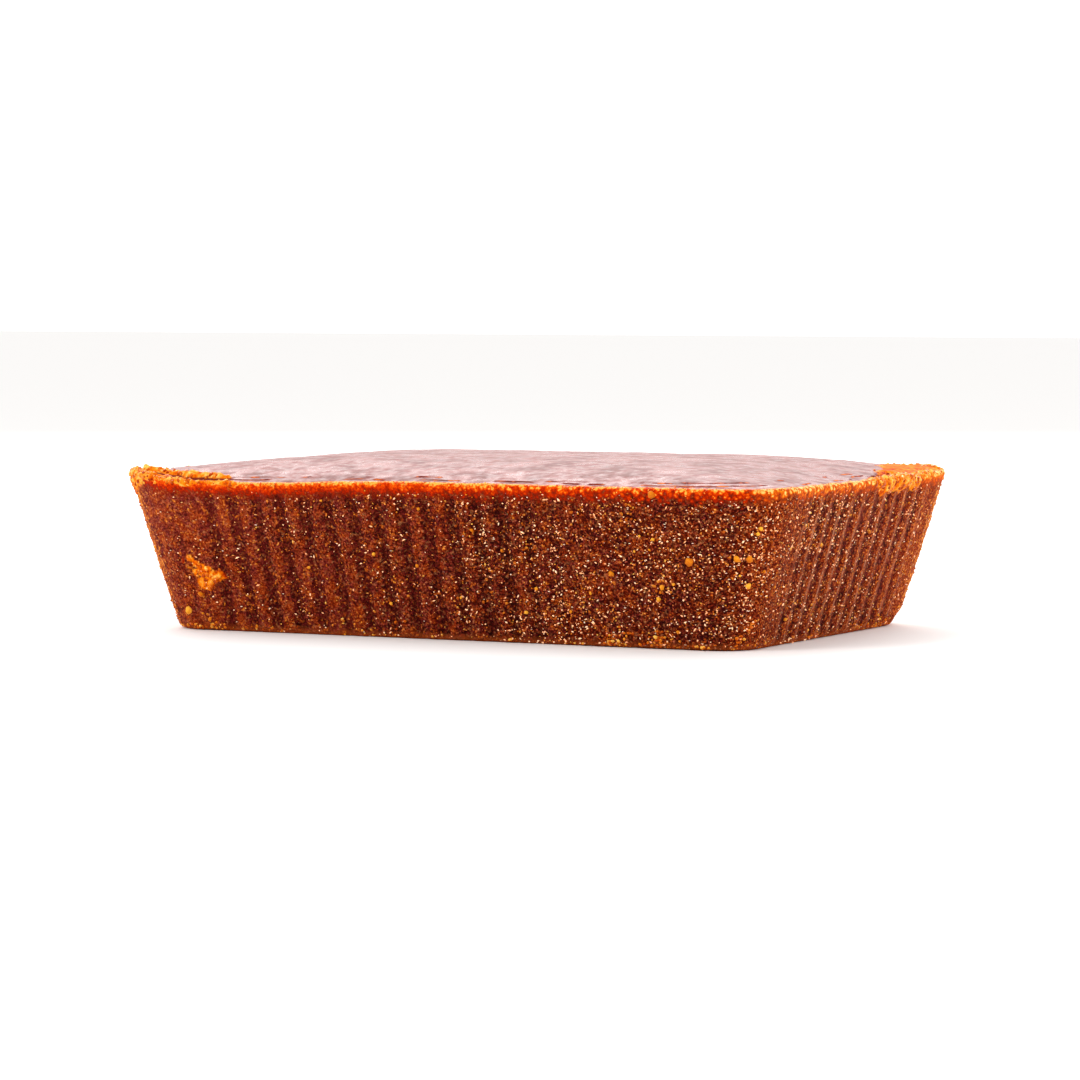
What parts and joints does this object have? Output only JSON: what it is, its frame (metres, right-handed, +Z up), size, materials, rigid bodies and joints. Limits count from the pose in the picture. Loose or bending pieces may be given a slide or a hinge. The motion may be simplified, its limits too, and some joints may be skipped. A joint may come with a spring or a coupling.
{
  "type": "jaggery block",
  "caption": "Moulded block of dark jaggery: a drafted, round-cornered tray shape with fluted sides, a crowned poured top and crumbly rim corners.",
  "frame": {"origin": "middle of the flat base, on the surface that the block rests on", "axes": "+X along the length of the block, +Y along its width, +Z up from the base to the wider, poured top"},
  "size_m": [0.1394, 0.0954, 0.0333],
  "materials": {
    "jaggery": "satin, grainy, slightly translucent at thin edges"
  },
  "bodies": {
    "root": {"jaggery_block": "jaggery"}
  },
  "joints": []
}
